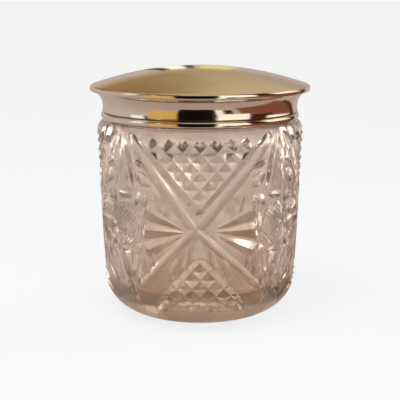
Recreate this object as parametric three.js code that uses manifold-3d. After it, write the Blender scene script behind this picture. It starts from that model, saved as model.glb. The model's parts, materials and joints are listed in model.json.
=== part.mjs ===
// Powder jar for a dressing table: a cut crystal jar with a push-on silver lid.
// Millimetres, +Z up. The origin is the centre of the flat base that the jar rests on.
import * as THREE from 'three';
import { mergeVertices } from 'three/addons/utils/BufferGeometryUtils.js';
import Module from 'manifold-3d';

const wasm = await Module();
wasm.setup();

// ---------------------------------------------------------------- driving dimensions
const GLASS_STEPS = 40; // facets round the glass
const SILVER_STEPS = 60; // facets round a turned silver piece

// Glass, outside
const BASE_R = 23.3; // flat that the jar rests on
const HEEL_R = 16; // radius of the rounded heel
const HEEL_FROM_DEG = -75; // the heel leaves the flat at a slight angle
const WALL_FOOT_R = 39.3; // wall radius where the heel ends
const WALL_TOP_R = 41.6; // widest radius of the glass
const WALL_TOP_Z = 73.5;
const SHOULDER = [[41.25, 75.7], [40.4, 77.3]]; // the wall turns in between its top and the ledge
const LEDGE_R = 39.2; // outer edge of the flat ledge under the lid
const LEDGE_Z = 78.35;
const NECK_R = 37.45;
const NECK_TOP_Z = 88;
const NECK_LIP_R = 1.2; // rounding of the neck's rim

// Glass, inside
const FLOOR_Z = 9;
const FLOOR_CORNER_R = 8;
const BORE_FOOT_R = 33.2;
const BORE_TOP_R = 35.2;
const BORE_TOP_Z = 72;
const MOUTH_R = 33.6;
const MOUTH_Z = 78; // foot of the straight mouth

// Silver lid
const LID_TOP_Z = 99.6;
const DOME_SPHERE_R = 133;
const DOME_EDGE_R = 43.2;
const BRIM_R = 44.25; // outermost radius of the whole jar
const BRIM_FOOT_Z = 90;
const BRIM_ROUND = [[0.4, 0.1], [0.1, 0.5], [0, 1.2], [0.15, 1.8], [0.5, 2.25]]; // inset, rise
const SHEET = 0.75; // thickness of the dome and the side band
const FLARE_Z = 90.75; // top of the side band, where it meets the brim wire
const WAIST_R = 39.17; // narrowest radius of the side band
const WAIST_Z = 83.6;
const HOLLOW_R = 7.2; // the side band is one hollow curve of this radius
const HOLLOW_FOOT_DEG = 186; // the curve's lower and upper end, seen from its centre
const HOLLOW_TOP_DEG = 122;
const HOLLOW_STEPS = 5;
const BAND_FOOT_R = 39.65;
const BAND_FOOT_Z = 82.2;
const BAND_SEAT_BORE_R = 38.62; // inner edge of the band where it stands on the bead
const BEAD_TOP_Z = 81.75;
const BEAD_FOOT_Z = 78.65;
const BEAD_R = 39.9;
const BEAD_ROUND = [[0.7, 0], [0.15, 0.65], [0, 1.5], [0.15, 2.45]]; // inset, rise
const BEAD_SEAT_R = 39.2; // outer edge of the bead's flat top, where the band stands
const SLEEVE_R = 38.2; // outside of the sleeve and inside of the bead
const SLEEVE_BORE_R = 37.75;
const SLEEVE_FOOT_Z = 79.2;
const SLEEVE_TOP_Z = 88.4;

// Cutting on the glass: places are [degrees from a panel's middle line, height]
const PANELS = 4; // crossed panels round the jar
const PANEL_DEG = 360 / PANELS;
const CROSS_Z = 41; // middle of the crossed bars
const BAR_TOP = [38, 73];
const BAR_FOOT = [35, 17];
const BAR = { depth: 1.4, halfWidth: 2.7 };
const BAR_OVERLAP = 0.08; // share of an arm's length that it runs on past the middle
const DIAMOND_DEG = 9.2; // width of one diamond point
const DIAMOND_H = 7; // height of one diamond point
const DIAMOND_NODE_Z = 21; // a crossing of two grooves on the middle line
const DIAMOND = { depth: 1.3, halfWidth: 2.1 };
const UPPER_FIELD = [[0, 45.5], [34.5, 75], [-34.5, 75]]; // corners of the diamonds above
const LOWER_FIELD = [[-24, 10.5], [24, 10.5], [0, 31]]; // and below the crossing
const SPLIT = { depth: 1.2, halfWidth: 1.5 };
const SPLIT_ENDS = [
  [[8, 42], [31, 49]], // fan beside the crossing
  [[8, 40], [31, 41]],
  [[8, 38], [31, 33]],
  [[31, 52], [31, 31]], // upright that ends the fan
  [[35, 55], [45, 76]], // arrow head above, between two panels
  [[38, 30], [45, 12]], // arrow head below
  [[34, 29], [45, 27]],
];
const CUTTER_CLEARANCE = 1.5; // how far a cutter stands out of the glass
const CUT_STEP_DEG = 9; // a long cut bends with the wall at this step
const CUT_RISE = 6; // a cut reaches its full depth one sixth of the way along
const CUT_END = 0.08; // share of its depth that a cut keeps at its tip

// ---------------------------------------------------------------- helpers
const rad = THREE.MathUtils.degToRad;
const point = (r, z) => new THREE.Vector2(r, z);

/** Points of an arc in the profile plane, angles in degrees from the radial axis. */
function arc(r, z, radius, from, to, steps) {
  return Array.from({ length: steps + 1 }, (_, i) => {
    const a = rad(from + ((to - from) * i) / steps);
    return point(r + radius * Math.cos(a), z + radius * Math.sin(a));
  });
}

/** A profile turned about Z. Lathe geometry turns about Y, so it is stood up. */
function turned(profile, steps) {
  const geometry = new THREE.LatheGeometry(profile, steps);
  geometry.rotateX(Math.PI / 2);
  return geometry;
}

/** A silver ring, from a profile that goes once round its section. */
function ring(section) {
  return turned([...section, section[0].clone()], SILVER_STEPS);
}

/** One closed body of a three.js geometry, as a solid that can be cut. */
function solid(geometry) {
  const bare = geometry.clone();
  bare.deleteAttribute('normal');
  bare.deleteAttribute('uv');
  const merged = mergeVertices(bare, 1e-4);
  return new wasm.Manifold(
    new wasm.Mesh({
      numProp: 3,
      vertProperties: new Float32Array(merged.attributes.position.array),
      triVerts: new Uint32Array(merged.index.array),
    }),
  );
}

/** A solid back as a three.js geometry. */
function geometryOf(body) {
  const mesh = body.getMesh();
  const geometry = new THREE.BufferGeometry();
  geometry.setAttribute('position', new THREE.BufferAttribute(mesh.vertProperties, 3));
  geometry.setIndex(new THREE.BufferAttribute(mesh.triVerts, 1));
  geometry.computeVertexNormals();
  return geometry;
}

// ---------------------------------------------------------------- glass blank
/** Radius of the uncut wall at a height. */
function wallRadius(z) {
  const share = (z - HEEL_R) / (WALL_TOP_Z - HEEL_R);
  return WALL_FOOT_R + (WALL_TOP_R - WALL_FOOT_R) * share;
}

/** The jar before cutting: heel, wall, shoulder, ledge, neck, bore and floor. */
function glassBlank() {
  const outside = [
    point(0, 0),
    point(BASE_R, 0),
    ...arc(BASE_R, HEEL_R, HEEL_R, HEEL_FROM_DEG, 0, 5),
    point(WALL_TOP_R, WALL_TOP_Z),
    ...SHOULDER.map(([r, z]) => point(r, z)),
    point(LEDGE_R, LEDGE_Z),
    point(NECK_R, LEDGE_Z),
    point(NECK_R, NECK_TOP_Z - NECK_LIP_R),
    point(NECK_R - NECK_LIP_R, NECK_TOP_Z),
  ];
  const inside = [
    point(MOUTH_R + NECK_LIP_R, NECK_TOP_Z),
    point(MOUTH_R, NECK_TOP_Z - NECK_LIP_R),
    point(MOUTH_R, MOUTH_Z),
    point(BORE_TOP_R, BORE_TOP_Z),
    ...arc(BORE_FOOT_R - FLOOR_CORNER_R, FLOOR_Z + FLOOR_CORNER_R, FLOOR_CORNER_R, 0, -90, 3),
    point(0, FLOOR_Z),
  ];
  return turned([...outside, ...inside], GLASS_STEPS);
}

// ---------------------------------------------------------------- cuts
/**
 * A V-shaped cutter that follows the wall from one place to another. It is deepest at
 * its middle, or from its first end on when that end is blunt.
 */
function cutter({ from, to, depth, halfWidth, blunt = false }) {
  const mmPerDegree = rad(1) * WALL_TOP_R;
  const run = new THREE.Vector2((to[0] - from[0]) * mmPerDegree, to[1] - from[1]);
  const along = run.clone().normalize();
  const section = new THREE.Shape([point(0, -1), point(1, 1), point(-1, 1)]);
  const steps = 2 * Math.ceil(Math.abs(to[0] - from[0]) / CUT_STEP_DEG / 2 + 0.01);
  const geometry = new THREE.ExtrudeGeometry(section, { depth: 1, steps, bevelEnabled: false });
  const places = geometry.attributes.position;
  for (let i = 0; i < places.count; i += 1) {
    const share = places.getZ(i);
    const toTip = blunt ? 1 - share : Math.min(share, 1 - share);
    const cutDepth = depth * THREE.MathUtils.clamp(CUT_RISE * toTip, CUT_END, 1);
    const side = places.getX(i) * (halfWidth / depth) * (cutDepth + CUTTER_CLEARANCE);
    const x = from[0] * mmPerDegree + run.x * share - along.y * side;
    const z = from[1] + run.y * share + along.x * side;
    const r = wallRadius(z) + (places.getY(i) > 0 ? CUTTER_CLEARANCE : -cutDepth);
    const angle = x / WALL_TOP_R;
    places.setXYZ(i, r * Math.sin(angle), -r * Math.cos(angle), z);
  }
  return solid(geometry);
}

/** The same cuts again on the other side of the panel's middle line. */
function mirrored(cuts) {
  return cuts.flatMap((cut) => [
    cut,
    { ...cut, from: [-cut.from[0], cut.from[1]], to: [-cut.to[0], cut.to[1]] },
  ]);
}

/** The wide bars that cross in the middle of each panel: four arms that overlap there. */
function crossBars() {
  const arms = [BAR_TOP, BAR_FOOT].map((to) => {
    const from = [-to[0] * BAR_OVERLAP, CROSS_Z - (to[1] - CROSS_Z) * BAR_OVERLAP];
    return { from, to, blunt: true, ...BAR };
  });
  return mirrored(arms);
}

/** The span of degrees in which a sloping line is inside a convex field, or null. */
function spanInside(start, slope, field) {
  let low = -Infinity;
  let high = Infinity;
  field.forEach((a, i) => {
    const b = field[(i + 1) % field.length];
    const inward = [a[1] - b[1], b[0] - a[0]];
    const gain = inward[0] + inward[1] * slope;
    const limit = (inward[0] * (a[0] - start) + inward[1] * a[1]) / gain;
    if (gain > 0) low = Math.max(low, limit);
    else high = Math.min(high, limit);
  });
  return high - low > DIAMOND_DEG / 2 ? [low, high] : null;
}

/** Crossing grooves that leave diamond points in a field, given counter-clockwise. */
function diamondField(field) {
  const slope = DIAMOND_H / DIAMOND_DEG;
  const rows = Math.ceil(WALL_TOP_Z / DIAMOND_H);
  const cuts = [];
  for (let row = -rows; row <= rows; row += 1) {
    const start = row * DIAMOND_DEG - DIAMOND_NODE_Z / slope;
    const span = spanInside(start, slope, field);
    if (span) {
      const [from, to] = span.map((degrees) => [start + degrees, slope * degrees]);
      cuts.push({ from, to, ...DIAMOND });
    }
  }
  return mirrored(cuts);
}

/** All cuts of one panel. */
function panelCuts() {
  return [
    ...crossBars(),
    ...diamondField(UPPER_FIELD),
    ...diamondField(LOWER_FIELD),
    ...mirrored(SPLIT_ENDS.map(([from, to]) => ({ from, to, ...SPLIT }))),
  ];
}

/** The blank with the same cutting on every panel. */
function glassJar() {
  const cutters = [];
  for (let panel = 0; panel < PANELS; panel += 1) {
    const turn = ([degrees, z]) => [degrees + panel * PANEL_DEG, z];
    for (const cut of panelCuts()) {
      cutters.push(cutter({ ...cut, from: turn(cut.from), to: turn(cut.to) }));
    }
  }
  const blank = solid(glassBlank());
  return geometryOf(cutters.reduce((glass, tool) => glass.subtract(tool), blank));
}

// ---------------------------------------------------------------- silver lid
/** Height of the dome's outer face at a radius. */
function domeZ(r) {
  const fall = DOME_SPHERE_R - Math.sqrt(DOME_SPHERE_R ** 2 - r ** 2);
  return LID_TOP_Z - fall;
}

/** The raised sheet that closes the top. */
function lidDome() {
  const steps = 5;
  const radii = Array.from({ length: steps + 1 }, (_, i) => (DOME_EDGE_R * i) / steps);
  const inside = radii.map((r) => point(r, domeZ(r) - SHEET));
  const outside = radii.map((r) => point(r, domeZ(r))).reverse();
  return turned([...inside, ...outside], SILVER_STEPS);
}

/** The thick rounded wire round the brim, soldered to the dome and the side band. */
function lidBrimWire() {
  return ring([
    point(DOME_EDGE_R, BRIM_FOOT_Z),
    ...BRIM_ROUND.map(([inset, rise]) => point(BRIM_R - inset, BRIM_FOOT_Z + rise)),
    point(DOME_EDGE_R, domeZ(DOME_EDGE_R)),
  ]);
}

/** The waisted side of the lid, flared out to the brim. */
function lidSideBand() {
  const hollow = (radius, from, to) =>
    arc(WAIST_R + HOLLOW_R, WAIST_Z, radius, from, to, HOLLOW_STEPS);
  const inside = [
    point(DOME_EDGE_R, FLARE_Z),
    ...hollow(HOLLOW_R + SHEET, HOLLOW_TOP_DEG, HOLLOW_FOOT_DEG),
    point(BAND_SEAT_BORE_R, BEAD_TOP_Z),
  ];
  const outside = [
    point(BEAD_SEAT_R, BEAD_TOP_Z),
    point(BAND_FOOT_R, BAND_FOOT_Z),
    ...hollow(HOLLOW_R, HOLLOW_FOOT_DEG, HOLLOW_TOP_DEG),
    point(DOME_EDGE_R, FLARE_Z - SHEET),
  ];
  return ring([...inside, ...outside]);
}

/** The half-round bead at the lid's foot. Its flat top carries the side band. */
function lidFootBead() {
  return ring([
    point(SLEEVE_R, BEAD_FOOT_Z),
    ...BEAD_ROUND.map(([inset, rise]) => point(BEAD_R - inset, BEAD_FOOT_Z + rise)),
    point(BEAD_SEAT_R, BEAD_TOP_Z),
    point(SLEEVE_R, BEAD_TOP_Z),
  ]);
}

/** The plain sleeve inside the lid that slides over the glass neck. */
function lidInnerSleeve() {
  return ring([
    point(SLEEVE_BORE_R, SLEEVE_FOOT_Z),
    point(SLEEVE_R, SLEEVE_FOOT_Z),
    point(SLEEVE_R, SLEEVE_TOP_Z),
    point(SLEEVE_BORE_R, SLEEVE_TOP_Z),
  ]);
}

// ---------------------------------------------------------------- assembly
function piece(name, geometry, look) {
  const mesh = new THREE.Mesh(geometry, new THREE.MeshStandardMaterial(look));
  mesh.name = name;
  return mesh;
}

const glassLook = { color: 0xc2ac9a, roughness: 0.05, metalness: 0 };
const silverLook = { color: 0xd8cdb8, roughness: 0.12, metalness: 1 };
const wornSilverLook = { color: 0xc7b896, roughness: 0.3, metalness: 1 };

const lid = new THREE.Group();
lid.add(
  piece('lid_dome', lidDome(), silverLook),
  piece('lid_brim_wire', lidBrimWire(), silverLook),
  piece('lid_side_band', lidSideBand(), silverLook),
  piece('lid_foot_bead', lidFootBead(), silverLook),
  piece('lid_inner_sleeve', lidInnerSleeve(), wornSilverLook),
);

const powderJar = new THREE.Group();
powderJar.add(piece('glass_jar', glassJar(), glassLook), lid);

export default powderJar;
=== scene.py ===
# %% [markdown]
# # A powder jar in cut crystal and silver
# The jar is a thick round crystal body, cut all over by hand with stone wheels, and a plain
# silver lid that pushes onto its neck. The design, with every size, is a fixed frame made
# beforehand. Here each piece gets the surface that the real one has: crisp cuts in clear lead
# glass, and polished, lightly worn silver.

# %% Load the frame
import json
import math
import random

import bmesh
import bpy
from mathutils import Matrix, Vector

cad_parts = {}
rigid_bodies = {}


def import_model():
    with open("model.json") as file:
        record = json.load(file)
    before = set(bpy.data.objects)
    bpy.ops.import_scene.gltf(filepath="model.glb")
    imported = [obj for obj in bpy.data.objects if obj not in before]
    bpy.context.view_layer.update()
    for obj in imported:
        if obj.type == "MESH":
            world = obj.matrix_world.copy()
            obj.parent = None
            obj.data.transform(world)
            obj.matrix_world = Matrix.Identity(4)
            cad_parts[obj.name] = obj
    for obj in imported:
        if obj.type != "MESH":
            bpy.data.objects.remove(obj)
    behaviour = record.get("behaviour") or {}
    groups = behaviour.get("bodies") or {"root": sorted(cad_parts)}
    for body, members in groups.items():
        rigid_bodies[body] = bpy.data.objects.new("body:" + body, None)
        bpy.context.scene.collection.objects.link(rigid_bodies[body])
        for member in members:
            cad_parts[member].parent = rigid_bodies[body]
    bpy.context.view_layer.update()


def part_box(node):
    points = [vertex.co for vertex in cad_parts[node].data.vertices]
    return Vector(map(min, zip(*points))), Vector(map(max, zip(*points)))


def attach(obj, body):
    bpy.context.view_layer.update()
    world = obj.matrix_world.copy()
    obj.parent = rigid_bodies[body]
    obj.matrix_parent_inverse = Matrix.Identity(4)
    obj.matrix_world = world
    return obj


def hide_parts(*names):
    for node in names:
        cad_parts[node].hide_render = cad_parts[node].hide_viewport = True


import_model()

# %% [markdown]
# ## Sizes
# The frame is in metres. A glass cutter thinks in millimetres, so the shapes below are worked
# out in millimetres and made a thousand times smaller when they become objects. The jar is
# round about the Z axis, so each box gives radii and heights straight away.

# %% Sizes from the frame
MM = 0.001


def reach(node):
    """Outer radius, lowest and highest point of a node, in millimetres."""
    low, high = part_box(node)
    return high[0] / MM, low[2] / MM, high[2] / MM


GLASS_R, _, NECK_TOP = reach("glass_jar")
BRIM_R, BRIM_FOOT, _ = reach("lid_brim_wire")
DOME_EDGE_R, _, LID_TOP = reach("lid_dome")
BEAD_R, BEAD_FOOT, BEAD_TOP = reach("lid_foot_bead")
SLEEVE_R, SLEEVE_FOOT, SLEEVE_TOP = reach("lid_inner_sleeve")
_, _, FLARE_TOP = reach("lid_side_band")
print(f"glass {2 * GLASS_R:.1f} mm wide, lid top at {LID_TOP:.1f} mm, brim {2 * BRIM_R:.1f} mm")

# %% [markdown]
# ## The wall of the glass, rolled out flat
# A cutter marks the pattern on the wall as if it were a sheet of paper wrapped round the jar.
# We do the same. The sheet runs once round the jar from left to right, and from the flat base,
# over the rounded heel, up the wall and over the shoulder. `wall_point` says where a place on
# the sheet lies on the jar, and `depth` pushes it into the glass.
# Working flat keeps every facet truly flat while it is cut, and only then bends it.

# %% The rolled-out wall
HEEL_R = 16.0                          # radius of the rounded heel
HEEL_LENGTH = HEEL_R * math.pi / 2
WALL_TAPER = 2.3                       # the wall is this much narrower at its foot
WALL_FOOT_R = GLASS_R - WALL_TAPER
BASE_R = WALL_FOOT_R - HEEL_R
SHOULDER_Z = 73.5                      # where the wall starts to turn in
SHOULDER_WIDE, SHOULDER_TALL = 3.0, 4.85
SHOULDER_LENGTH = 6.3                  # along its curve
SHEET_FOOT = HEEL_R - HEEL_LENGTH      # height on the sheet where the flat base begins
SHEET_TOP = SHOULDER_Z + SHOULDER_LENGTH
MM_PER_DEGREE = math.radians(40.0)     # the sheet's scale: a wall of 40 mm radius


def wall_profile(height):
    """Radius, height and outward direction of the uncut glass at a height on the sheet."""
    if height < HEEL_R:
        turn = (HEEL_R - height) / HEEL_R
        out, up = math.cos(turn), -math.sin(turn)
        return BASE_R + HEEL_R * out, HEEL_R + HEEL_R * up, out, up
    if height <= SHOULDER_Z:
        share = (height - HEEL_R) / (SHOULDER_Z - HEEL_R)
        return WALL_FOOT_R + (GLASS_R - WALL_FOOT_R) * share, height, 1.0, 0.0
    turn = math.pi / 2 * (height - SHOULDER_Z) / SHOULDER_LENGTH
    out, up = math.cos(turn), math.sin(turn)
    middle = GLASS_R - SHOULDER_WIDE
    return middle + SHOULDER_WIDE * out, SHOULDER_Z + SHOULDER_TALL * up, out, up


def wall_point(x, height, depth):
    """The place on the jar of a place on the sheet."""
    r, z, out, up = wall_profile(height)
    r += depth * out
    z += depth * up
    angle = math.radians(x / MM_PER_DEGREE)
    return Vector((r * math.sin(angle), -r * math.cos(angle), z))


print(f"the sheet is {360 * MM_PER_DEGREE:.0f} mm long and {SHEET_TOP - SHEET_FOOT:.0f} mm tall")

# %% [markdown]
# ## One stroke of the wheel
# Every cut on the jar is made by a spinning wheel with a V-shaped or rounded edge. It sinks in,
# runs along a line and lifts out again, so a cut is deepest and widest in the middle and ends
# in points. In Blender a stroke is a small closed mesh, like the hull of a boat, which a Boolean
# takes away from the glass. `stroke` builds one from its two ends, how deep it goes, and a rule
# for the depth along it. A stroke that crosses the sheet's edge is made again at the other edge,
# so that the pattern closes round the jar.

# %% Strokes
CLEAR = 0.1       # how far a stroke stands out of the glass
SEAM = -60.0      # degrees round the jar where the sheet begins, and 360 further where it ends
SHEET_LEFT, SHEET_RIGHT = SEAM * MM_PER_DEGREE, (SEAM + 360) * MM_PER_DEGREE
OVERLAP = 12.0    # degrees that a stroke may lie past the seam and still reach over it
strokes = bpy.data.collections.new("strokes")
bpy.context.scene.collection.children.link(strokes)
hand = random.Random(11)


def leaf(t):
    """A long cut that runs out to a point at both ends."""
    return 1 - abs(2 * t - 1) ** 2.6


def wedge(t):
    """A cut that gets deeper all the way and ends against another."""
    return 0.04 + 0.96 * t ** 0.9


def drop(t):
    """A cut that starts full and runs out to a point."""
    return 1 - t ** 3


def groove(t):
    """An even cut that lifts out towards its ends."""
    return min(1.0, 0.3 + 9 * t, 0.3 + 9 * (1 - t))


def bar(t):
    """An even cut that ends bluntly."""
    return min(1.0, 0.45 + 7 * (1 - t))


def v_section(depth, half):
    """Across a mitre cut: a sharp V."""
    reach_out = half * (depth + CLEAR) / depth
    return [(reach_out, CLEAR), (0.0, -depth), (-reach_out, CLEAR)]


def hollow_section(depth, half, count=8):
    """Across a hollow cut: a shallow arc."""
    points = []
    for i in range(count + 1):
        side = 1 - 2 * i / count
        points.append((half * side, -depth * (1 - side * side)))
    return [(half * 1.06, CLEAR), *points, (-half * 1.06, CLEAR)]


def even(steps):
    """Places along a stroke at equal steps."""
    return [i / steps for i in range(steps + 1)]


ENDS_ONLY = [0, 0.04, 0.08, 0.92, 0.96, 1]      # enough for a cut that is even between its ends


def stroke(start, end, depth, half, rule=leaf, section=v_section, places=even(10)):
    """One cut from start to end, both (degrees round the jar, height)."""
    a = Vector((start[0] * MM_PER_DEGREE, start[1]))
    b = Vector((end[0] * MM_PER_DEGREE, end[1]))
    across = Vector((a.y - b.y, b.x - a.x)).normalized()
    verts, faces = [], []
    for t in places:
        share = max(rule(t), 0.02)
        middle = a.lerp(b, t)
        for side, level in section(depth * share, half * share):
            place = middle + across * side
            verts.append((place.x, place.y, level))
    ring = len(verts) // len(places)
    for i in range(len(places) - 1):
        for j in range(ring):
            k = (j + 1) % ring
            low, high = i * ring, (i + 1) * ring
            faces.append((low + j, high + j, high + k, low + k))
    faces.append(tuple(range(ring)))
    faces.append(tuple(reversed(range(len(verts) - ring, len(verts)))))
    mesh = bpy.data.meshes.new("stroke")
    mesh.from_pydata(verts, [], faces)
    first, last = sorted((start[0], end[0]))
    for turn in (-360, 0, 360):
        if SEAM - OVERLAP < last + turn and first + turn < SEAM + 360 + OVERLAP:
            copy = bpy.data.objects.new("stroke", mesh)
            copy.location.x = turn * MM_PER_DEGREE
            strokes.objects.link(copy)

# %% [markdown]
# ## The pattern of one panel
# The jar has four equal panels. Each holds a big cross of two hollow bars. Above and below the
# cross the cutter ground a field of diamond points: two sets of parallel V grooves that cross,
# so that what is left between them is a small pyramid. Beside the cross, long splits fan out.
# Between two panels stands a column with an arrow head, a cross-hatched oval and a kite.
# The places below are (degrees from the panel's middle line, height in millimetres).

# %% Panels
PANELS = 4
CROSS_Z = 41.0
DIAMOND_WIDE, DIAMOND_TALL = 9.2, 7.0   # one diamond point, in degrees and millimetres
DIAMOND_ROW_Z = 21.0                    # two grooves cross here on the middle line
DIAMOND_DEPTH, DIAMOND_HALF = 1.45, 2.27
ARM_DEPTH = 0.95
ARM_OVERLAP = 0.07                      # share of its length that an arm runs on past the middle


def both_sides(middle, cuts):
    """Makes every cut twice, mirrored about the middle line, a little uneven as by hand."""
    for start, end, depth, half, rule, section in cuts:
        for side in (1, -1):
            sway = Vector((hand.uniform(-0.3, 0.3), hand.uniform(-0.25, 0.25)))
            a = (middle + side * start[0] + sway.x, start[1] + sway.y)
            b = (middle + side * end[0] + sway.x, end[1] + sway.y)
            press = hand.uniform(0.92, 1.08)
            stroke(a, b, depth * press, half * press, rule, section)


def cross(middle, shift):
    """Four hollow arms that meet in the middle of the panel, the upper ones wider."""
    centre = (middle + shift, CROSS_Z)
    for reach_out, height, half in ((40.0, 76.2, 2.5), (36.0, 16.2, 1.8)):
        for side in (1, -1):
            tip = (middle + side * reach_out, height)
            start = (
                centre[0] - (tip[0] - centre[0]) * ARM_OVERLAP,
                centre[1] - (tip[1] - centre[1]) * ARM_OVERLAP,
            )
            depth = ARM_DEPTH * hand.uniform(0.94, 1.06)
            stroke(start, tip, depth, half, bar, hollow_section, even(16))


def inside(field, start, slope):
    """Where a sloping line enters and leaves a field with straight sides."""
    low, high = -math.inf, math.inf
    for (ax, ay), (bx, by) in zip(field, field[1:] + field[:1]):
        in_x, in_y = ay - by, bx - ax
        gain = in_x + in_y * slope
        limit = (in_x * (ax - start) + in_y * ay) / gain
        if gain > 0:
            low = max(low, limit)
        else:
            high = min(high, limit)
    return low, high


def diamonds(middle, field):
    """Crossing grooves that leave rows of small pyramids inside a field."""
    slope = DIAMOND_TALL / DIAMOND_WIDE
    for row in range(-12, 13):
        start = row * DIAMOND_WIDE - DIAMOND_ROW_Z / slope
        low, high = inside(field, start, slope)
        if high - low < DIAMOND_WIDE / 2:
            continue
        for side in (1, -1):
            sway = hand.uniform(-0.12, 0.12)
            a = (middle + side * (start + low) + sway, slope * low)
            b = (middle + side * (start + high) + sway, slope * high)
            depth = DIAMOND_DEPTH * hand.uniform(0.95, 1.05)
            stroke(a, b, depth, DIAMOND_HALF, groove, places=ENDS_ONLY)


UPPER_FIELD = [(0, 45.0), (35, 74.2), (-35, 74.2)]
LOWER_FIELD = [(-30, 8.0), (30, 8.0), (0, 31.5)]


def side_fans(middle):
    """Three wide splits on each side that open away from the cross, and what closes them off."""
    both_sides(middle, [
        ((9, 41.4), (31.5, 47.4), 2.0, 3.3, wedge, v_section),
        ((8, 40.2), (32.5, 39.6), 2.1, 3.7, wedge, v_section),
        ((9, 39.0), (32.0, 31.6), 2.0, 3.5, wedge, v_section),
        ((30.8, 53.6), (31.6, 48.6), 1.9, 1.9, leaf, v_section),
        ((31.2, 45.5), (31.4, 35.0), 0.8, 1.0, leaf, v_section),
        ((30.6, 33.0), (29.8, 20.5), 1.1, 1.8, leaf, v_section),
        ((26.5, 33.5), (25.5, 25.0), 0.8, 1.1, leaf, v_section),
        ((27.0, 56.8), (37.0, 61.6), 1.1, 2.4, leaf, hollow_section),
        ((24.0, 55.0), (21.5, 46.5), 0.9, 1.1, leaf, v_section),
        ((29.0, 64.0), (37.5, 66.5), 0.9, 1.3, leaf, v_section),
    ])


def below_cross(middle):
    """Upright splits between the lower arms."""
    stroke((middle, 39.5), (middle, 29.5), 1.8, 3.5, wedge)
    both_sides(middle, [
        ((5.5, 36.5), (8.0, 26.0), 1.1, 1.5, wedge, v_section),
        ((13, 29.5), (17, 20.5), 0.6, 1.6, leaf, hollow_section),
    ])


def column(middle):
    """Half of the column beside a panel: what stands beside its arrow head, oval and kite."""
    both_sides(middle, [
        ((44.4, 75.6), (38.2, 61.5), 1.0, 1.1, leaf, v_section),
        ((41.6, 69.0), (37.6, 55.0), 1.0, 1.0, leaf, v_section),
        ((33.8, 54.5), (37.2, 48.5), 1.2, 1.3, leaf, v_section),
        ((33.8, 46.5), (35.2, 36.0), 0.9, 1.1, leaf, v_section),
        ((34.6, 34.6), (38.0, 29.0), 1.2, 1.4, leaf, v_section),
        ((36.8, 30.5), (41.0, 20.0), 1.0, 1.3, leaf, v_section),
        ((35.4, 26.0), (36.4, 17.0), 0.8, 1.2, leaf, v_section),
        ((43.6, 19.5), (37.0, 9.0), 0.6, 1.3, leaf, v_section),
        ((44.4, 17.5), (42.4, 7.6), 0.6, 1.1, leaf, v_section),
    ])


def column_middle(middle):
    """The arrow head above the oval, the kite below it, and a short level cut at each."""
    stroke((middle, 77.3), (middle, 54.6), 2.1, 3.5, wedge)
    stroke((middle - 5.8, 52.9), (middle + 5.8, 52.2), 1.2, 1.4, leaf)
    stroke((middle - 5.2, 30.6), (middle + 5.2, 30.2), 1.0, 1.1, leaf)
    stroke((middle, 29.4), (middle, 17.0), 2.0, 3.4, drop)


HATCH_STEP = 1.35                       # between two fine lines of the oval
HATCH_DEPTH, HATCH_HALF = 0.42, 0.6
OVAL_WIDE, OVAL_TALL = 8.8, 8.6         # half sizes, degrees and millimetres
OVAL_Z = CROSS_Z + 0.4
SHORTEST = 0.002                        # a hatch line with less spread than this is left out


def hatched_oval(middle):
    """Fine crossing lines inside an oval: each ends where it meets the oval's edge."""
    wide = OVAL_WIDE * MM_PER_DEGREE
    rows = int(OVAL_TALL / HATCH_STEP)
    for lean in (1, -1):
        for row in range(-rows, rows + 1):
            along = Vector((lean, 1.0)).normalized()
            off = Vector((-along.y, along.x)) * (row * HATCH_STEP * lean)
            slope = (along.x / wide) ** 2 + (along.y / OVAL_TALL) ** 2
            mix = off.x * along.x / wide ** 2 + off.y * along.y / OVAL_TALL ** 2
            rest = (off.x / wide) ** 2 + (off.y / OVAL_TALL) ** 2 - 1
            spread = mix * mix - slope * rest
            if spread <= SHORTEST:
                continue
            half_run = math.sqrt(spread) / slope
            ends = [off + along * (-mix / slope + side * half_run) for side in (-1, 1)]
            a, b = [(middle + end.x / MM_PER_DEGREE, OVAL_Z + end.y) for end in ends]
            stroke(a, b, HATCH_DEPTH, HATCH_HALF, groove, places=ENDS_ONLY)


FRONT_SHIFT = -2.6                      # degrees that the front cross stands off its middle line
for panel in range(PANELS):
    middle = panel * 360 / PANELS
    shift = FRONT_SHIFT if panel == 0 else hand.uniform(-1.5, 1.5)
    cross(middle, shift)
    diamonds(middle, UPPER_FIELD)
    diamonds(middle, LOWER_FIELD)
    side_fans(middle)
    below_cross(middle)
    column(middle)
    column_middle(middle + 180 / PANELS)
    hatched_oval(middle + 180 / PANELS)

# %% [markdown]
# ## Cutting and bending the sheet
# All strokes are taken away in one Boolean from a flat slab of glass. Only its cut face is kept.
# It is split into narrow upright strips, and into level rows where the profile bends, because
# a mesh bends only at its edges. Then every point goes to its place on the jar, and the two ends
# of the sheet are welded.

# %% Cut, split and bend
STRIPS = 144                            # upright strips round the jar
HEEL_ROWS, SHOULDER_ROWS = 14, 10       # level rows where the profile bends
SLAB = 4.0                              # thickness of the slab that is cut
NEAR = 1e-3                             # two places closer than this are the same


def flat_slab():
    """The glass before it is cut: a plain slab, with its upper face at height 0."""
    corners = [
        (x, y, z)
        for z in (-SLAB, 0) for y in (SHEET_FOOT, SHEET_TOP) for x in (SHEET_LEFT, SHEET_RIGHT)
    ]
    faces = [(0, 2, 3, 1), (4, 5, 7, 6), (0, 1, 5, 4), (2, 6, 7, 3), (0, 4, 6, 2), (1, 3, 7, 5)]
    mesh = bpy.data.meshes.new("slab")
    mesh.from_pydata(corners, [], faces)
    slab = bpy.data.objects.new("slab", mesh)
    bpy.context.scene.collection.objects.link(slab)
    return slab


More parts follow.
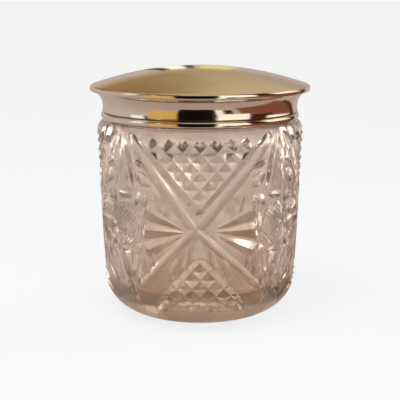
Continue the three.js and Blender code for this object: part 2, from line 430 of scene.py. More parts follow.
def cut_face(slab):
    """The slab's face after all the strokes, as a bmesh, still flat."""
    cutting = slab.modifiers.new("cutting", "BOOLEAN")
    cutting.operation = "DIFFERENCE"
    cutting.operand_type = "COLLECTION"
    cutting.collection = strokes
    cutting.solver = "MANIFOLD"
    cut_slab = slab.evaluated_get(bpy.context.evaluated_depsgraph_get())
    mesh = bpy.data.meshes.new_from_object(cut_slab)
    face_mesh = bmesh.new()
    face_mesh.from_mesh(mesh)

    def on_a_side(face):
        xs = [v.co.x for v in face.verts]
        ys = [v.co.y for v in face.verts]
        return (
            max(v.co.z for v in face.verts) < NEAR - SLAB
            or max(xs) < SHEET_LEFT + NEAR or min(xs) > SHEET_RIGHT - NEAR
            or max(ys) < SHEET_FOOT + NEAR or min(ys) > SHEET_TOP - NEAR
        )

    sides = [f for f in face_mesh.faces if on_a_side(f)]
    bmesh.ops.delete(face_mesh, geom=sides, context="FACES")
    flat_edges = [e for e in face_mesh.edges if e.is_manifold and e.calc_face_angle() < 1e-4]
    bmesh.ops.dissolve_edges(face_mesh, edges=flat_edges, use_verts=False)
    return face_mesh


def split(face_mesh, place, direction):
    """Adds edges where a plane crosses the mesh."""
    geometry = face_mesh.verts[:] + face_mesh.edges[:] + face_mesh.faces[:]
    bmesh.ops.bisect_plane(
        face_mesh, geom=geometry, dist=1e-4, plane_co=place, plane_no=direction
    )


def discard(collection):
    """Removes a collection with its objects and their meshes."""
    for thing in list(collection.objects):
        mesh = thing.data
        bpy.data.objects.remove(thing)
        if mesh.users == 0:
            bpy.data.meshes.remove(mesh)
    bpy.data.collections.remove(collection)


slab = flat_slab()
wall = cut_face(slab)
discard(strokes)
bpy.data.meshes.remove(slab.data)
for i in range(1, STRIPS):
    split(wall, ((SEAM + i * 360 / STRIPS) * MM_PER_DEGREE, 0, 0), (1, 0, 0))
heel_rows = [SHEET_FOOT + HEEL_LENGTH * i / HEEL_ROWS for i in range(1, HEEL_ROWS + 1)]
shoulder_rows = [SHOULDER_Z + SHOULDER_LENGTH * i / SHOULDER_ROWS for i in range(SHOULDER_ROWS)]
for height in heel_rows + shoulder_rows:
    split(wall, (0, height, 0), (0, 1, 0))
bmesh.ops.triangulate(wall, faces=wall.faces[:])
at_the_seam = [
    v for v in wall.verts if min(abs(v.co.x - SHEET_LEFT), abs(v.co.x - SHEET_RIGHT)) < NEAR
]
for vert in wall.verts:
    vert.co = wall_point(vert.co.x, vert.co.y, vert.co.z)
bmesh.ops.remove_doubles(wall, verts=at_the_seam, dist=2 * NEAR)
print(f"cut wall: {len(wall.faces)} faces")

# %% [markdown]
# ## Closing the jar
# The bent sheet is open at the top and at the bottom. From its top edge the surface goes on over
# the ledge, up the plain neck, over the rounded rim and down the bore. From its bottom edge it
# goes across the flat that the jar stands on to a star of 24 rays, the usual finish under such a
# jar. `carry_on` adds one ring of faces after another, each with a radius and a height.

# %% Neck, bore and base
SLEEVE_SHEET = 0.45                     # thickness of the lid's inner sleeve
SLEEVE_GAP = 0.3                        # the sleeve runs this clear of the neck
NECK_R = SLEEVE_R - SLEEVE_SHEET - SLEEVE_GAP
LEDGE_Z = SHOULDER_Z + SHOULDER_TALL
LEDGE_R = GLASS_R - SHOULDER_WIDE - 0.5
RIM_ROUND, FOOT_ROUND = 1.2, 0.4        # rounding of the rim, and of the corner at the neck's foot
MOUTH_R = NECK_R - 3.85
BORE_R = GLASS_R - 6.4
BORE_TOP_Z, BORE_FOOT_Z = 70.5, 18.0
BORE_TAPER = 2.0                        # the bore is this much narrower at its foot
FLOOR_Z = 9.0
FLOOR_ROUND = 8.0                       # rounding between the bore and the floor
RAYS = 24
RAY_DEPTH, RAY_SPREAD = 1.9, 1.3        # depth at the middle, and how wide a ray is for its depth
STAR_R = BASE_R - 2.3


def arc(r, z, radius, start, end, count):
    """Points of an arc in the profile plane, angles in degrees from level outward."""
    return [
        (r + radius * math.cos(math.radians(start + (end - start) * i / count)),
         z + radius * math.sin(math.radians(start + (end - start) * i / count)))
        for i in range(count + 1)
    ]


def edge_loops(shape):
    """The open edges' points, as rings ordered round the jar: the lower one first."""
    points = {v for e in shape.edges if e.is_boundary for v in e.verts}
    middle = (min(v.co.z for v in points) + max(v.co.z for v in points)) / 2
    rings = [v for v in points if v.co.z < middle], [v for v in points if v.co.z > middle]
    return [sorted(ring, key=lambda v: math.atan2(v.co.y, v.co.x)) for ring in rings]


def carry_on(shape, ring, profile, height_at=None):
    """Adds rings of faces from an open edge on, and closes the last one with a point."""
    angles = [math.atan2(v.co.y, v.co.x) for v in ring]
    for r, z in profile:
        lift = [height_at(r, a) if height_at else 0.0 for a in angles]
        following = [
            shape.verts.new((r * math.cos(a), r * math.sin(a), z + up))
            for a, up in zip(angles, lift)
        ]
        for i, vert in enumerate(ring):
            j = (i + 1) % len(ring)
            shape.faces.new((vert, ring[j], following[j], following[i]))
        ring = following
    top = sum((v.co.z for v in ring)) / len(ring)
    pole = shape.verts.new((0, 0, top))
    for i, vert in enumerate(ring):
        shape.faces.new((vert, ring[(i + 1) % len(ring)], pole))


def star(r, angle):
    """How far the star under the base is cut up into the glass."""
    step = 2 * math.pi / RAYS
    off = (angle + step / 2) % step - step / 2
    ray = RAY_DEPTH * max(0.0, 1 - (r / STAR_R) ** 3)
    return max(0.0, ray - r * abs(math.sin(off)) / RAY_SPREAD)


foot_ring, top_ring = edge_loops(wall)
neck_corner = reversed(arc(NECK_R + FOOT_ROUND, LEDGE_Z + FOOT_ROUND, FOOT_ROUND, 180, 270, 4))
rim_z = NECK_TOP - RIM_ROUND
rim = [
    (NECK_R, rim_z - 0.4), *arc(NECK_R - RIM_ROUND, rim_z, RIM_ROUND, 0, 90, 6),
    *arc(MOUTH_R + RIM_ROUND, rim_z, RIM_ROUND, 90, 180, 6), (MOUTH_R, rim_z - 0.4),
]
throat = [
    (MOUTH_R, 82.0), (MOUTH_R, 78.5), (MOUTH_R + 0.25, 76.5), (MOUTH_R + 0.9, 74.5),
    (BORE_R - 0.2, 72.4), (BORE_R, BORE_TOP_Z),
]
bore = [
    (BORE_R - BORE_TAPER * i / 8, BORE_TOP_Z - (BORE_TOP_Z - BORE_FOOT_Z) * i / 8)
    for i in range(1, 8)
]
corner_r = BORE_R - BORE_TAPER - FLOOR_ROUND
floor_corner = arc(corner_r, FLOOR_Z + FLOOR_ROUND, FLOOR_ROUND, 0, -90, 10)
inner_floor = [(r, FLOOR_Z) for r in (20.0, 14.0, 8.0, 3.0)]
inside_profile = throat + bore + floor_corner + inner_floor
carry_on(wall, top_ring, [(LEDGE_R, LEDGE_Z), *neck_corner, *rim, *inside_profile])
under = [(BASE_R - 1.2, 0.0), (STAR_R + 1.0, 0.0)]
star_rings = [(STAR_R * (1 - i / 25), 0.0) for i in range(25)]
carry_on(wall, foot_ring, under + star_rings, star)
bmesh.ops.recalc_face_normals(wall, faces=wall.faces[:])
open_edges = sum(e.is_boundary or not e.is_manifold for e in wall.edges)
print(f"jar: {len(wall.faces)} faces, {open_edges} open edges")


# %% [markdown]
# ## Smooth where the glass is round, crisp where it is cut
# The narrow strips meet at less than three degrees, and the faces of a cut at thirty or more. An
# edge sharper than the angle below stays crisp, and the rest is shaded smooth.

# %% The jar as an object
CRISP = math.radians(16)


def solid_object(name, shape):
    """Makes an object, in metres, from a bmesh in millimetres."""
    bmesh.ops.scale(shape, vec=(MM, MM, MM), verts=shape.verts[:])
    mesh = bpy.data.meshes.new(name)
    shape.to_mesh(mesh)
    shape.free()
    mesh.shade_smooth()
    mesh.set_sharp_from_angle(angle=CRISP)
    thing = bpy.data.objects.new(name, mesh)
    bpy.context.scene.collection.objects.link(thing)
    return thing


crystal_jar = solid_object("crystal_jar", wall)
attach(crystal_jar, "jar")
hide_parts("glass_jar")

# %% [markdown]
# ## The lid, piece by piece
# A silver lid like this is made from thin sheet and wire. The domed top is raised over a stake,
# the waisted side is rolled and soldered into a ring, and a thick wire covers the joint at the
# brim. A half-round bead stiffens the foot, and a plain sleeve inside grips the neck. Each piece
# is a closed outline turned about the Z axis, so one function makes them all. The outlines use
# arcs, because polished metal shows every flat in its reflections.

# %% Turned pieces
TURN_STEPS = 192
SHEET_MM = 0.75                         # thickness of the dome and the side band
DOME_BALL_R = 133.0                     # the dome is a small part of a ball this big


def turned(name, outline, node):
    """A closed outline of (radius, height) points, turned about Z and standing for a node."""
    shape = bmesh.new()
    closed = outline[0][0] > 0
    rings = []
    for r, z in outline:
        if r == 0:
            rings.append([shape.verts.new((0, 0, z))] * TURN_STEPS)
            continue
        turns = [2 * math.pi * i / TURN_STEPS for i in range(TURN_STEPS)]
        rings.append([shape.verts.new((r * math.cos(a), r * math.sin(a), z)) for a in turns])
    pairs = list(zip(rings, rings[1:]))
    if closed:
        pairs.append((rings[-1], rings[0]))
    for low, high in pairs:
        for i in range(TURN_STEPS):
            j = (i + 1) % TURN_STEPS
            corners = dict.fromkeys((low[i], low[j], high[j], high[i]))
            shape.faces.new(tuple(corners))
    bmesh.ops.recalc_face_normals(shape, faces=shape.faces[:])
    piece = solid_object(name, shape)
    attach(piece, "lid")
    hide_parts(node)
    print(f"{name}: {len(piece.data.polygons)} faces")
    return piece


def dome_z(r):
    """Height of the dome's outer face at a radius."""
    return LID_TOP - DOME_BALL_R + math.sqrt(DOME_BALL_R ** 2 - r * r)


def curve(points, count=5):
    """A smooth line through points, with count steps between two of them."""
    ends = [points[0], *points, points[-1]]
    line = []
    for p0, p1, p2, p3 in zip(ends, ends[1:], ends[2:], ends[3:]):
        for i in range(count):
            t = i / count
            line.append(tuple(
                0.5 * (2 * b + (c - a) * t + (2 * a - 5 * b + 4 * c - d) * t ** 2
                       + (3 * b - a - 3 * c + d) * t ** 3)
                for a, b, c, d in zip(p0, p1, p2, p3)
            ))
    return line + [points[-1]]


# %% Dome and brim
DOME_STEPS = 24
dome_radii = [DOME_EDGE_R * i / DOME_STEPS for i in range(DOME_STEPS + 1)]
dome_inside = [(r, dome_z(r) - SHEET_MM) for r in dome_radii]
dome_outside = [(r, dome_z(r)) for r in reversed(dome_radii)]
silver_dome = turned("silver_dome", dome_inside + dome_outside, "lid_dome")

BRIM_Z = BRIM_FOOT + 1.2                # the brim is widest here
brim_face = curve([
    (BRIM_R - 0.3, BRIM_FOOT + 0.12), (BRIM_R - 0.08, BRIM_FOOT + 0.5), (BRIM_R, BRIM_Z - 0.2),
    (BRIM_R - 0.05, BRIM_Z + 0.3), (BRIM_R - 0.3, BRIM_Z + 0.75), (BRIM_R - 0.7, BRIM_Z + 1.04),
])
brim_outline = [
    (DOME_EDGE_R, BRIM_FOOT), (BRIM_R - 0.55, BRIM_FOOT), *brim_face,
    (DOME_EDGE_R, dome_z(DOME_EDGE_R) + 0.02),
]
silver_brim = turned("silver_brim_wire", brim_outline, "lid_brim_wire")

# %% Side band
WAIST_R, WAIST_Z = 39.2, 83.9           # the narrowest place
HOLLOW_R = 7.2                          # the side is one hollow curve of this radius


def hollow_curve(low, high, sheet, count=26):
    """Points of the hollow side from one height to another, sheet nearer the axis."""
    middle_r, radius = WAIST_R + HOLLOW_R, HOLLOW_R + sheet
    heights = [low + (high - low) * i / count for i in range(count + 1)]
    angles = [math.asin((height - WAIST_Z) / radius) for height in heights]
    return [(middle_r - radius * math.cos(a), WAIST_Z + radius * math.sin(a)) for a in angles]


GROOVE_Z = BEAD_TOP + 0.2               # the narrow groove where the band stands on the bead
side_outside = [
    (WAIST_R - 0.1, BEAD_TOP + 0.02), (WAIST_R + 0.15, GROOVE_Z),
    *hollow_curve(GROOVE_Z + 0.12, FLARE_TOP - 0.85, 0),
]
side_inside = [
    (DOME_EDGE_R - 0.1, FLARE_TOP - 0.02),
    *reversed(hollow_curve(GROOVE_Z + 0.4, FLARE_TOP - 0.5, SHEET_MM)),
]
silver_band = turned("silver_side_band", side_outside + side_inside, "lid_side_band")

# %% Bead and sleeve
BEAD_ROUND = 1.25                       # how far the bead's round face stands out
bead_middle = (BEAD_FOOT + BEAD_TOP) / 2
bead_half = (BEAD_TOP - BEAD_FOOT) / 2
bead_turns = [math.radians(a) for a in range(-90, 91, 10)]
bead_face = [
    (BEAD_R - BEAD_ROUND + BEAD_ROUND * math.cos(a), bead_middle + bead_half * math.sin(a))
    for a in bead_turns
]
bead_outline = [(SLEEVE_R, BEAD_FOOT), *bead_face, (SLEEVE_R, BEAD_TOP)]
silver_bead = turned("silver_foot_bead", bead_outline, "lid_foot_bead")

SLEEVE_BORE = SLEEVE_R - SLEEVE_SHEET
sleeve_outline = [
    (SLEEVE_BORE + 0.12, SLEEVE_FOOT), (SLEEVE_R - 0.08, SLEEVE_FOOT), (SLEEVE_R, SLEEVE_FOOT + 0.1),
    (SLEEVE_R, SLEEVE_TOP - 0.15), (SLEEVE_R - 0.15, SLEEVE_TOP), (SLEEVE_BORE + 0.12, SLEEVE_TOP),
    (SLEEVE_BORE, SLEEVE_TOP - 0.12), (SLEEVE_BORE, SLEEVE_FOOT + 0.12),
]
silver_sleeve = turned("silver_inner_sleeve", sleeve_outline, "lid_inner_sleeve")

# %% [markdown]
# ## Building materials from nodes
# A material is a small graph of nodes. Two helpers keep the graphs short: `node` adds one node
# and joins it to others, and `paint` turns the 0 to 255 colours that people mix into the
# linear values that a renderer adds up.

# %% Node helpers
def node(tree, kind, inputs=None, **settings):
    """Adds a node, sets its settings, and joins or fills its inputs."""
    made = tree.nodes.new("ShaderNode" + kind)
    for name, value in settings.items():
        setattr(made, name, value)
    for key, value in (inputs or {}).items():
        if isinstance(value, bpy.types.NodeSocket):
            tree.links.new(value, made.inputs[key])
        else:
            made.inputs[key].default_value = value
    return made


def paint(red, green, blue):
    """A colour given in steps of 0 to 255, as linear light."""
    return tuple(
        c / 255 / 12.92 if c < 11 else ((c / 255 + 0.055) / 1.055) ** 2.4
        for c in (red, green, blue)
    ) + (1.0,)


def new_material(name):
    """An empty material and its surface shader."""
    material = bpy.data.materials.new(name)
    material.use_nodes = True
    tree = material.node_tree
    tree.nodes.clear()
    shader = node(tree, "BsdfPrincipled")
    out = node(tree, "OutputMaterial", {"Surface": shader.outputs[0]})
    return material, tree, shader, out


def ramp(tree, factor, *stops):
    """A colour ramp from (position, colour) stops."""
    made = node(tree, "ValToRGB", {"Fac": factor})
    elements = made.color_ramp.elements
    while len(elements) < len(stops):
        elements.new(0.5)
    for element, (position, colour) in zip(elements, stops):
        element.position, element.color = position, colour
    return made.outputs["Color"]


# %% [markdown]
# ## Lead crystal
# Old lead crystal bends light more than window glass does and has a very faint warm tint, which
# adds up in the thick heel. The tint comes in two ways: a colour on the surface that every ray
# picks up, and a volume that takes a little light on the way. Towards the foot the surface colour
# is deeper and browner: that is painted shade, the shaded table seen through the heel.
# The cut faces were polished by hand, so a fine noise changes the roughness and tips the surface
# by a hair. The inside is satin from use, the neck is ground to hold the sleeve, and the foot is
# rubbed by the table. Satin glass scatters the light, so the jar looks full of light, not empty.

# %% Crystal
INSIDE_R = (BORE_R + 1.0) * MM           # nearer the axis than this is the inside of the jar
# The painted shade at the foot fades out with the tint towards this height.
TINT_TOP = 0.078                         # the tint is palest from this height up, in metres
WORN_TO, WORN_FROM = 0.005, 0.013        # the foot is rubbed below the first, and not above the second
REFRACTION = 1.55


def crystal_tint_and_foot_shade(tree, place, height):
    """A warm tint, a little cloudy, made deeper towards the foot by painted shade."""
    up_the_jar = node(tree, "MapRange", {"Value": height, "From Min": 0.0, "From Max": TINT_TOP})
    cloud = node(tree, "TexNoise", {"Vector": place, "Scale": 60.0, "Detail": 3.0})
    sway = node(tree, "Math", {0: cloud.outputs["Fac"], 1: 0.25}, operation="MULTIPLY")
    level = node(tree, "Math", {0: up_the_jar.outputs[0], 1: sway.outputs[0]}, operation="ADD")
    # The deep brown first stop is painted shade: the shaded table seen through the heel.
    return ramp(
        tree, level.outputs[0],
        (0.14, paint(204, 176, 151)), (0.34, paint(249, 243, 238)), (1.0, paint(255, 252, 250)),
    )


def satin_places(tree, place, height):
    """1 where the glass is satin: the inside, the ground neck and the worn foot."""
    flat = node(tree, "VectorMath", {0: place, 1: (1.0, 1.0, 0.0)}, operation="MULTIPLY").outputs[0]
    radius = node(tree, "VectorMath", {0: flat}, operation="LENGTH").outputs["Value"]
    inside = node(tree, "MapRange", {
        "Value": radius, "From Min": INSIDE_R + 0.0003, "From Max": INSIDE_R,
    })
    foot = node(tree, "MapRange", {"Value": height, "From Min": WORN_FROM, "From Max": WORN_TO})
    neck_foot = LEDGE_Z * MM
    ground = node(tree, "MapRange", {
        "Value": height, "From Min": neck_foot, "From Max": neck_foot + 0.0002,
    })
    worn = node(tree, "Math", {0: inside.outputs[0], 1: foot.outputs[0]}, operation="MAXIMUM")
    worn = node(tree, "Math", {0: worn.outputs[0], 1: ground.outputs[0]}, operation="MAXIMUM")
    return worn.outputs[0]


def crystal_roughness(tree, place, height):
    """Nearly none on the polished cuts, and a lot where the glass is satin."""
    wear = node(tree, "TexNoise", {"Vector": place, "Scale": 130.0, "Detail": 3.0})
    fine = node(tree, "MapRange", {"Value": wear.outputs["Fac"], "To Min": 0.0, "To Max": 0.07})
    rubbed = node(tree, "MapRange", {"Value": wear.outputs["Fac"], "To Min": 0.18, "To Max": 0.3})
    rough = node(tree, "MapRange", {
        "Value": satin_places(tree, place, height),
        "To Min": fine.outputs[0], "To Max": rubbed.outputs[0],
    })
    return rough.outputs[0]


def crystal_material():
    """Clear refracting glass, with a little absorption inside."""
    material, tree, shader, out = new_material("lead_crystal")
    place = node(tree, "TexCoord").outputs["Object"]
    height = node(tree, "SeparateXYZ", {"Vector": place}).outputs["Z"]
    tree.links.new(crystal_tint_and_foot_shade(tree, place, height), shader.inputs["Base Color"])
    tree.links.new(crystal_roughness(tree, place, height), shader.inputs["Roughness"])
    wheel = node(tree, "TexNoise", {"Vector": place, "Scale": 260.0, "Detail": 2.0})
    bump = node(tree, "Bump", {
        "Height": wheel.outputs["Fac"], "Strength": 0.25, "Distance": 0.00008,
    })
    tree.links.new(bump.outputs[0], shader.inputs["Normal"])
    shader.inputs["Transmission Weight"].default_value = 1.0
    shader.inputs["IOR"].default_value = REFRACTION
    volume = node(tree, "VolumeAbsorption", {"Color": paint(238, 224, 212), "Density": 4.0})
    tree.links.new(volume.outputs[0], out.inputs["Volume"])
    return material


crystal_jar.data.materials.append(crystal_material())
print("crystal:", ", ".join(m.name for m in crystal_jar.data.materials))

# %% [markdown]
# ## Polished silver
# Silver is the whitest metal, but an old lid is never a perfect mirror. Years of polishing leave
# hair lines in every direction and a gently uneven face. In the groove at the foot of the side band
# a dark brown is painted: tarnish where a cloth can't reach, and painted shade of the groove.
# One function makes the finish, with the amount of wear and of this tarnish and shade as choices.

# %% Silver
def silver_material(name, shine, tarnish_and_shade=0.0, groove_dark_from=None, groove_dark_to=None):
    """Silver of some roughness, with tarnish and painted shade that fade out between two heights."""
    material, tree, shader, _ = new_material(name)
    place = node(tree, "TexCoord").outputs["Object"]
    cloud = node(tree, "TexNoise", {"Vector": place, "Scale": 55.0, "Detail": 5.0})
    clean, dull = paint(250, 247, 241), paint(236, 225, 206)
    colour = ramp(tree, cloud.outputs["Fac"], (0.35, clean), (0.75, dull))
    if groove_dark_from is not None:
        height = node(tree, "SeparateXYZ", {"Vector": place}).outputs["Z"]
        groove_tarnish_and_shade = node(tree, "MapRange", {
            "Value": height, "From Min": groove_dark_from * MM, "From Max": groove_dark_to * MM,
            "To Min": tarnish_and_shade, "To Max": 0.0,
        })
        # Tarnish and painted shade: a dark brown at the foot of the band, in the groove above the
        # bead.
        brown = paint(92, 62, 38)
        colour = node(tree, "MixRGB", {
            "Fac": groove_tarnish_and_shade.outputs[0], "Color1": colour, "Color2": brown,
        }).outputs[0]
    tree.links.new(colour, shader.inputs["Base Color"])
    shader.inputs["Metallic"].default_value = 1.0
    hair = node(tree, "Mapping", {"Vector": place, "Scale": (900.0, 5200.0, 2400.0)})
    lines = node(tree, "TexNoise", {"Vector": hair.outputs[0], "Scale": 1.0, "Detail": 3.0})
    rough = node(tree, "MapRange", {
        "Value": lines.outputs["Fac"], "From Min": 0.35, "From Max": 0.75,
        "To Min": shine, "To Max": shine + 0.1,
    })
    tree.links.new(rough.outputs[0], shader.inputs["Roughness"])
    waves = node(tree, "TexNoise", {"Vector": place, "Scale": 38.0, "Detail": 1.0})
    uneven = node(tree, "Bump", {
        "Height": waves.outputs["Fac"], "Strength": 0.5, "Distance": 0.00025,
    })
    scratched = node(tree, "Bump", {
        "Height": lines.outputs["Fac"], "Strength": 0.12, "Distance": 0.00004,
        "Normal": uneven.outputs[0],
    })
    tree.links.new(scratched.outputs[0], shader.inputs["Normal"])
    return material


POLISHED, DULL = 0.06, 0.25              # lowest roughness of the finish
polished = silver_material("polished_silver", POLISHED)
# The band's groove gets tarnish and painted shade, fading out 0.55 mm above the bead.
grooved = silver_material("polished_silver_band", POLISHED, 0.85, BEAD_TOP, BEAD_TOP + 0.55)
dulled = silver_material("dulled_silver", DULL)
for piece in (silver_dome, silver_brim, silver_bead):
    piece.data.materials.append(polished)
silver_band.data.materials.append(grooved)
silver_sleeve.data.materials.append(dulled)
# Light that has come through the glass passes the dome and the sleeve too. Without this the
# cuts right under the lid show its dark inside.
for lid_piece in (silver_dome, silver_sleeve):
    lid_piece.visible_transmission = False
print("silver:", ", ".join(material.name for material in (polished, grooved, dulled)))

# %% [markdown]
# ## The room and the floor
# Silver and crystal have almost no look of their own: they show the room. So the light comes
# from a painted room that wraps the jar on all sides: beige and grey, with patches of gold,
# cream, red-brown and near-black. `Light Path` tells the rays apart. A ray from the camera sees
# only a plain pale backdrop. A ray that comes through the glass sees a calmer room, half of it a
# soft ramp from a brown table to a pale ceiling, with a few small bright windows that make the
# cuts glint. Every other ray sees the rich room, and that is what the silver shows.

# %% Room
BACKDROP = paint(250, 250, 250)


def heading(azimuth, elevation):
    """A direction: azimuth from the front (-Y) towards +X, and elevation, in degrees."""
    a, e = math.radians(azimuth), math.radians(elevation)
    return Vector((math.sin(a) * math.cos(e), -math.cos(a) * math.cos(e), math.sin(e)))


def soft_step(tree, value, off, on):
    """0 at off, 1 at on, and smooth between them."""
    ends = {"Value": value, "From Min": off, "From Max": on}
    return node(tree, "MapRange", ends, interpolation_type="SMOOTHSTEP").outputs[0]


def product(tree, *factors):
    """Some masks multiplied together."""
    whole = factors[0]
    for factor in factors[1:]:
        whole = node(tree, "Math", {0: whole, 1: factor}, operation="MULTIPLY").outputs[0]
    return whole


def blend(tree, share, one, two):
    """Mixes two colours."""
    return node(tree, "MixRGB", {"Fac": share, "Color1": one, "Color2": two}).outputs[0]


def by_elevation(tree, upward, *stops):
    """A colour ramp from (elevation in degrees, colour) stops."""
    level = node(tree, "MapRange", {"Value": upward, "From Min": -1.0, "From Max": 1.0})
    places = [((math.sin(math.radians(e)) + 1) / 2, colour) for e, colour in stops]
    return ramp(tree, level.outputs[0], *places)


PINK_GREY, KHAKI, TABLE = paint(190, 172, 164), paint(180, 158, 124), paint(172, 144, 126)
CREAM, GOLD = paint(255, 242, 220), paint(212, 166, 92)
RED_BROWN, NEAR_BLACK = paint(128, 78, 58), paint(16, 10, 9)
ROOM = (
    # azimuths: middle, half width, softness; elevations: low, high, softness; colour, strength
    (180, 60, 4, 19, 89, 3, KHAKI, 1.0),
    (180, 22, 8, 14, 40, 2, KHAKI, 1.0),
    (-150, 24, 12, 19, 60, 3, paint(148, 118, 78), 1.0),
    (150, 22, 10, 20, 60, 3, paint(198, 178, 142), 1.0),
    (156, 14, 8, 8, 24, 6, paint(172, 156, 144), 1.0),
    (-44, 18, 1, -30, 14, 3, GOLD, 1.0),
    (-44, 19, 2, 14, 60, 4, paint(150, 104, 52), 1.0),
    (-50, 3, 1, 16, 26, 2, CREAM, 1.0),
    (-66, 3, 1, 4, 60, 2, NEAR_BLACK, 1.0),
    (-77, 9, 2, 2, 32, 3, paint(236, 236, 228), 1.1),
    (90, 42, 3, -44, 2, 3, RED_BROWN, 1.0),
    (71, 22, 3, -6, 55, 4, paint(66, 30, 20), 1.0),
    (40, 19, 1, -11, 36, 2, CREAM, 1.15),
    (23, 4, 1, -38, -11, 2, CREAM, 1.0),
    (34, 5, 1, -36, -13, 2, paint(34, 28, 30), 1.0),
    (104, 20, 2, 4, 38, 2, CREAM, 1.15),
    (134, 5, 2, -34, 24, 2, paint(74, 48, 40), 1.0),
    (-4, 22.5, 1, -42, 38, 2, NEAR_BLACK, 1.0),
    (-177.6, 1.0, 0.3, 0, 13, 1, CREAM, 1.2),
    (-176.2, 0.5, 0.2, 0, 13, 1, NEAR_BLACK, 1.0),
    (-179.0, 0.4, 0.2, 2, 13, 1, paint(90, 76, 60), 1.0),
    (178.4, 1.6, 0.4, 3, 14, 1, paint(226, 206, 140), 1.1),
)
GLINTS = (
    (-28, 5, 1, 18, 34, 1, CREAM, 8.0),
    (58, 6, 1, 22, 40, 1, CREAM, 11.0),
    (104, 8, 1, 6, 26, 1, paint(255, 232, 218), 11.0),
    (152, 5, 1, 12, 28, 1, CREAM, 9.0),
    (-118, 7, 1, 10, 30, 1, CREAM, 9.0),
    (-160, 5, 1, 30, 46, 1, CREAM, 8.0),
    (20, 24, 2, 62, 76, 2, CREAM, 2.5),
)


def patches(tree, level, upward, table, colour):
    """Paints soft-edged patches of the room, one over the other, on a colour."""
    for azimuth, half, fade, low, high, soft, tone, strength in table:
        ahead = heading(azimuth, 0)
        facing = node(tree, "VectorMath", {0: level, 1: ahead}, operation="DOT_PRODUCT")
        sideways = soft_step(
            tree, facing.outputs["Value"],
            math.cos(math.radians(half + fade)), math.cos(math.radians(max(half - fade, 0))),
        )
        above = soft_step(
            tree, upward, math.sin(math.radians(low - soft)), math.sin(math.radians(low + soft)),
        )
        top = min(high + soft, 90)
        below = soft_step(
            tree, upward, math.sin(math.radians(top)), math.sin(math.radians(high - soft)),
        )
        bright = tuple(c * strength for c in tone[:3]) + (1.0,)
        colour = blend(tree, product(tree, sideways, above, below), colour, bright)
    return colour


def paint_room():
    """The world: a rich room for silver, a calmer one through the glass, a plain backdrop behind."""
    world = bpy.data.worlds.new("room")
    bpy.context.scene.world = world
    world.use_nodes = True
    tree = world.node_tree
    tree.nodes.clear()
    look = node(tree, "TexCoord").outputs["Generated"]
    upward = node(tree, "SeparateXYZ", {"Vector": look}).outputs["Z"]
    level = node(tree, "VectorMath", {0: look, 1: (1.0, 1.0, 0.0)}, operation="MULTIPLY").outputs[0]
    level = node(tree, "VectorMath", {0: level}, operation="NORMALIZE").outputs[0]
    rich = by_elevation(
        tree, upward, (-90, TABLE), (-40, paint(176, 156, 146)), (-10, PINK_GREY),
        (12, paint(192, 178, 170)), (16, paint(184, 164, 140)), (90, paint(190, 164, 132)),
    )
    rich = patches(tree, level, upward, ROOM, rich)
    calm = by_elevation(
        tree, upward, (-90, paint(126, 98, 78)), (-50, paint(146, 116, 96)),
        (-30, paint(188, 162, 144)), (-8, paint(230, 213, 201)),
        (25, paint(242, 231, 221)), (90, paint(248, 238, 228)),
    )
    path = node(tree, "LightPath").outputs
    through_glass = patches(tree, level, upward, GLINTS, blend(tree, 0.5, calm, rich))
    seen = blend(tree, path["Is Transmission Ray"], rich, through_glass)
    seen = blend(tree, path["Is Camera Ray"], seen, BACKDROP)
    glow = node(tree, "Background", {"Color": seen, "Strength": 1.0})
    node(tree, "OutputWorld", {"Surface": glow.outputs[0]})


paint_room()
print(f"room: {len(ROOM)} patches and {len(GLINTS)} small windows")

# %% [markdown]
# ## Floor, light and camera
# The floor is a wide plain disc. It is a little luminous, so that it stays as pale as the
# backdrop, and it still takes a soft shadow. Only the camera sees it, so that it doesn't fill
# the glass and the silver with white. One large soft lamp overhead gives the shadow, and it
# doesn't show in reflections. The camera stands a little above the lid and looks slightly down.

# %% Floor
FLOOR_CLEAR = 0.0002                     # the floor lies this far under the jar, in metres


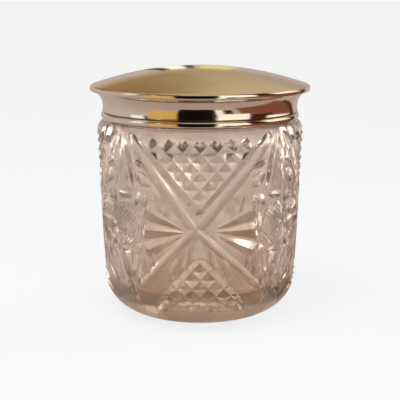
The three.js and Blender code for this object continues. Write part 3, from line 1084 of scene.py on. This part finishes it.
def floor_disc(radius=40.0, sides=96):
    """A plain pale floor that only the camera sees."""
    turns = [2 * math.pi * i / sides for i in range(sides)]
    corners = [(radius * math.cos(a), radius * math.sin(a), -FLOOR_CLEAR) for a in turns]
    mesh = bpy.data.meshes.new("floor")
    mesh.from_pydata(corners, [], [tuple(range(sides))])
    floor = bpy.data.objects.new("floor", mesh)
    bpy.context.scene.collection.objects.link(floor)
    material = bpy.data.materials.new("pale_floor")
    material.use_nodes = True
    tree = material.node_tree
    tree.nodes.clear()
    matt = node(tree, "BsdfDiffuse", {"Color": (0.3, 0.31, 0.33, 1.0)})
    glow = node(tree, "Emission", {"Color": (0.752, 0.782, 0.810, 1.0), "Strength": 1.0})
    pale = node(tree, "AddShader", {0: matt.outputs[0], 1: glow.outputs[0]})
    clear = node(tree, "BsdfTransparent")
    seen = node(tree, "LightPath").outputs["Is Camera Ray"]
    mixed = node(tree, "MixShader", {0: seen, 1: clear.outputs[0], 2: pale.outputs[0]})
    node(tree, "OutputMaterial", {"Surface": mixed.outputs[0]})
    mesh.materials.append(material)
    return floor


floor_disc()
print("floor laid")

# %% Light
def soft_lamp(name, azimuth, elevation, distance, size, watts):
    """A round lamp that points at the jar and leaves no reflection of itself."""
    lamp = bpy.data.lights.new(name, "AREA")
    lamp.shape, lamp.size, lamp.energy = "DISK", size, watts
    lamp.color = (1.0, 0.95, 0.88)
    holder = bpy.data.objects.new(name, lamp)
    away = heading(azimuth, elevation)
    holder.location = away * distance + Vector((0, 0, 0.05))
    holder.rotation_euler = (-away).to_track_quat("-Z", "Y").to_euler()
    holder.visible_glossy = False
    bpy.context.scene.collection.objects.link(holder)


soft_lamp("overhead", azimuth=-30, elevation=68, distance=0.9, size=0.5, watts=2.0)
print("one lamp overhead")

# %% Camera
CAMERA_AWAY, CAMERA_Z, LOOK_Z = 0.400, 0.1262, 0.0444       # metres
LENS = 89.0
camera = bpy.data.objects.new("camera", bpy.data.cameras.new("camera"))
camera.data.lens = LENS
camera.data.clip_start = 0.01
camera.location = (0, -CAMERA_AWAY, CAMERA_Z)
line_of_sight = Vector((0, CAMERA_AWAY, LOOK_Z - CAMERA_Z))
camera.rotation_euler = line_of_sight.to_track_quat("-Z", "Y").to_euler()
bpy.context.scene.collection.objects.link(camera)
bpy.context.scene.camera = camera
bpy.context.scene.view_settings.view_transform = "Standard"
print(f"camera {CAMERA_AWAY / MM:.0f} mm in front and {CAMERA_Z / MM:.0f} mm up")
